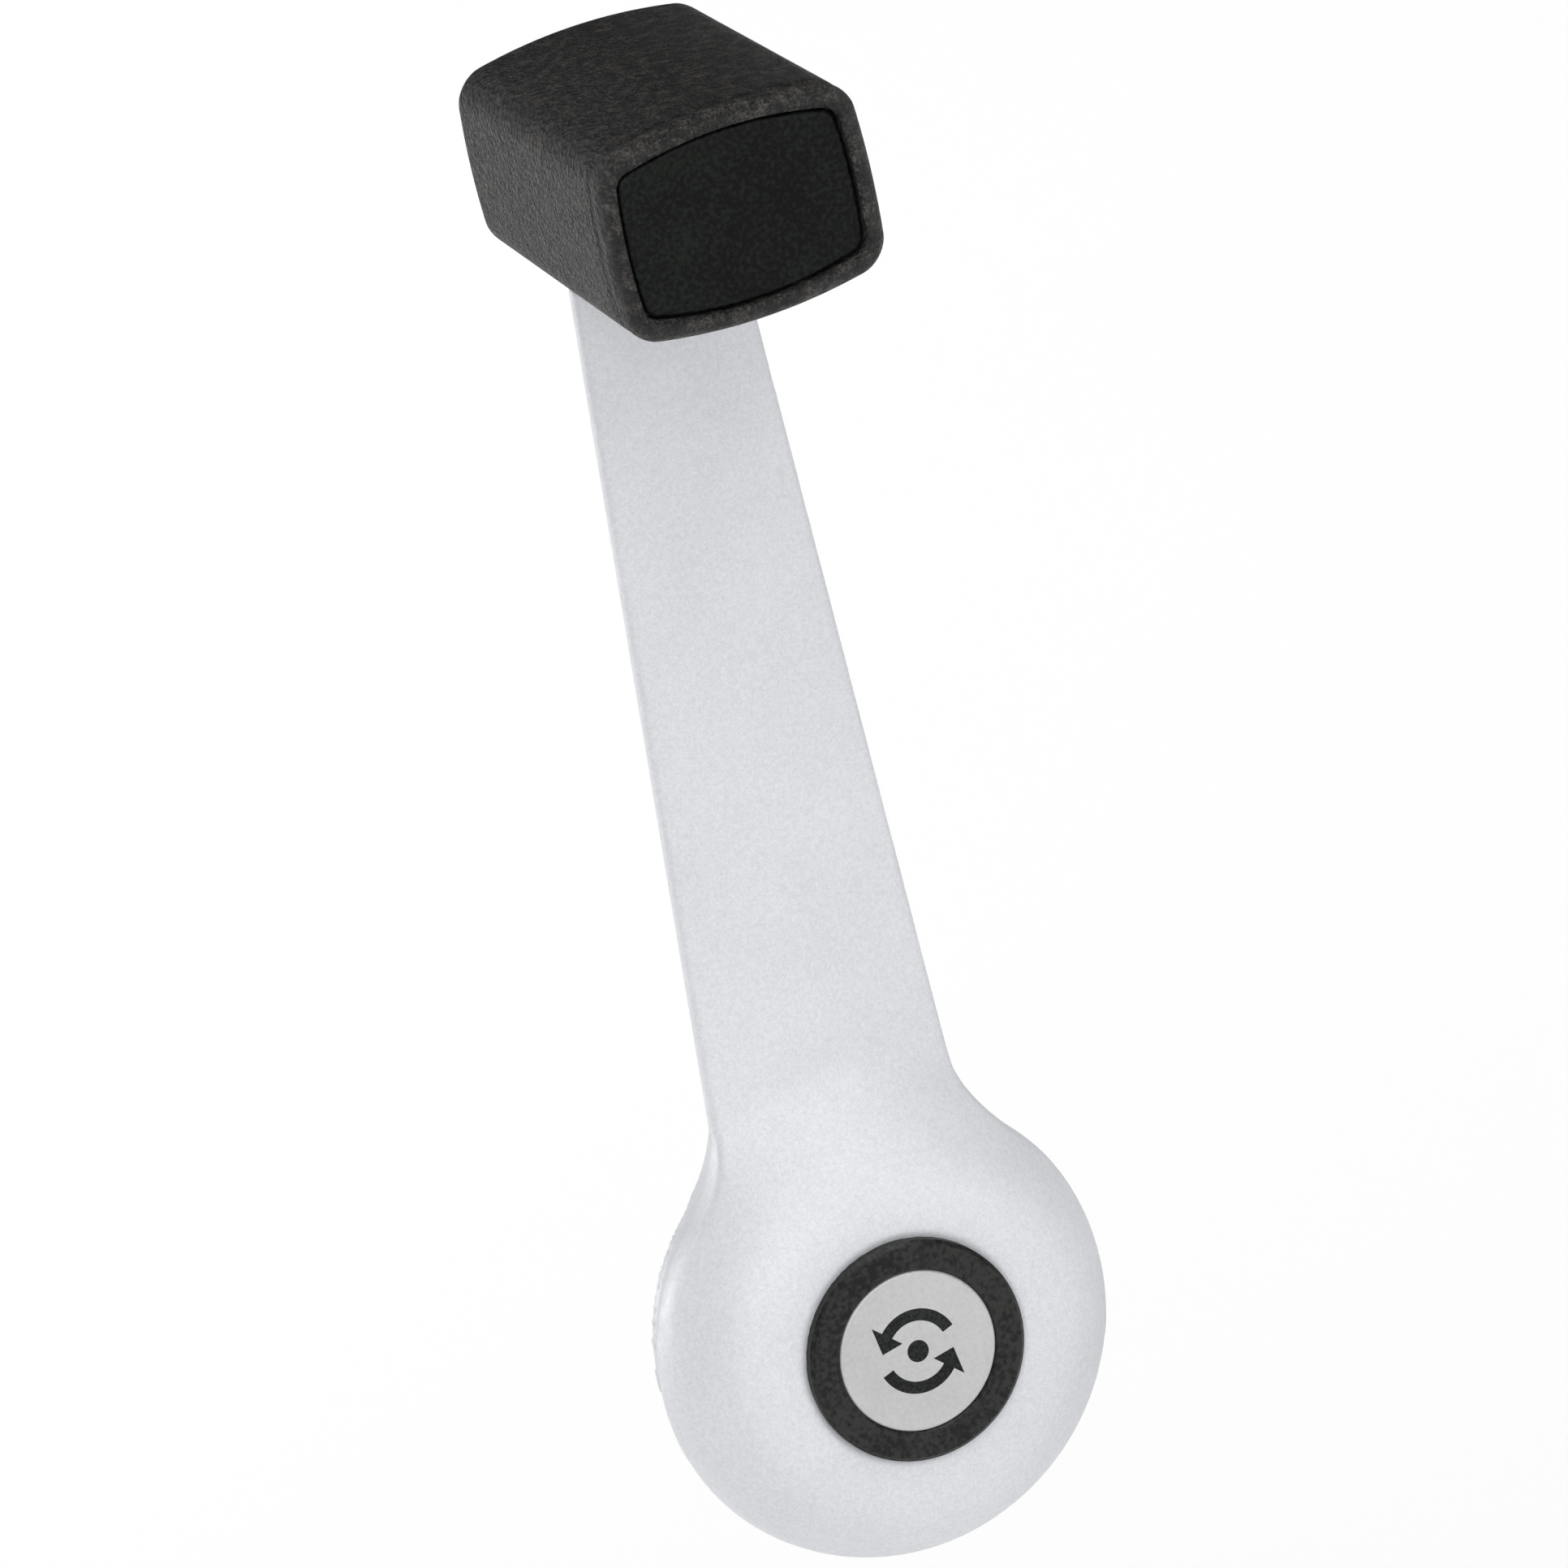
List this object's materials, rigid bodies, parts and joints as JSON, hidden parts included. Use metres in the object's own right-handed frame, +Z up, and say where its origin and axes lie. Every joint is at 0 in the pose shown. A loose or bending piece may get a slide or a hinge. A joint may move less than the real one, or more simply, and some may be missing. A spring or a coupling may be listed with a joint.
{
  "type": "window winder crank",
  "caption": "Window winder crank: tapered silver lever with a domed hub and capped fixing screw, serrated spindle socket, trim rosette and a free-turning black block knob.",
  "frame": {"origin": "on the spindle axis, in the plane of the door trim that the rosette rests on", "axes": "+Z up along the arm from the spindle to the knob, -Y out of the door towards the user along the spindle, +X to the right"},
  "size_m": [0.0416, 0.0466, 0.1438],
  "materials": {
    "arm_silver": "die-cast lever with a fine satin silver lacquer",
    "hardened_steel": "phosphated, oiled sintered steel",
    "zinc_steel": "bright zinc plate",
    "spring_steel": "blued spring steel",
    "cap_black": "satin black moulding",
    "disc_silver": "fine silver foil disc",
    "mark_black": "printed in black",
    "nylon_natural": "natural nylon",
    "grip_black": "grained black soft-touch moulding",
    "core_black": "plain black moulding",
    "panel_black": "fine satin black insert",
    "bronze": "sintered bronze",
    "rosette_grey": "self-lubricating dark grey plastic"
  },
  "bodies": {
    "crank": {"crank_arm": "arm_silver", "spline_insert": "hardened_steel", "flat_washer": "zinc_steel", "spring_washer": "zinc_steel", "fixing_screw": "zinc_steel", "hub_cap": "cap_black", "cap_disc": "disc_silver", "turn_mark": "mark_black", "knob_pin": "zinc_steel", "thrust_washer": "nylon_natural", "wave_washer": "spring_steel", "clip_washer": "zinc_steel", "retaining_clip": "spring_steel"},
    "knob": {"knob_grip": "grip_black", "knob_core": "core_black", "rear_bush": "bronze", "front_bush": "bronze", "knob_end_cap": "panel_black"},
    "rosette": {"trim_rosette": "rosette_grey"}
  },
  "joints": [
    {"name": "knob_spin", "type": "hinge", "parent": "crank", "child": "knob", "pos_m": [0, -0.0285, 0.1132], "axis": [0, -1, 0], "continuous": true},
    {"name": "rosette_turn", "type": "hinge", "parent": "crank", "child": "rosette", "pos_m": [0, 0, 0], "axis": [0, -1, 0], "continuous": true}
  ]
}
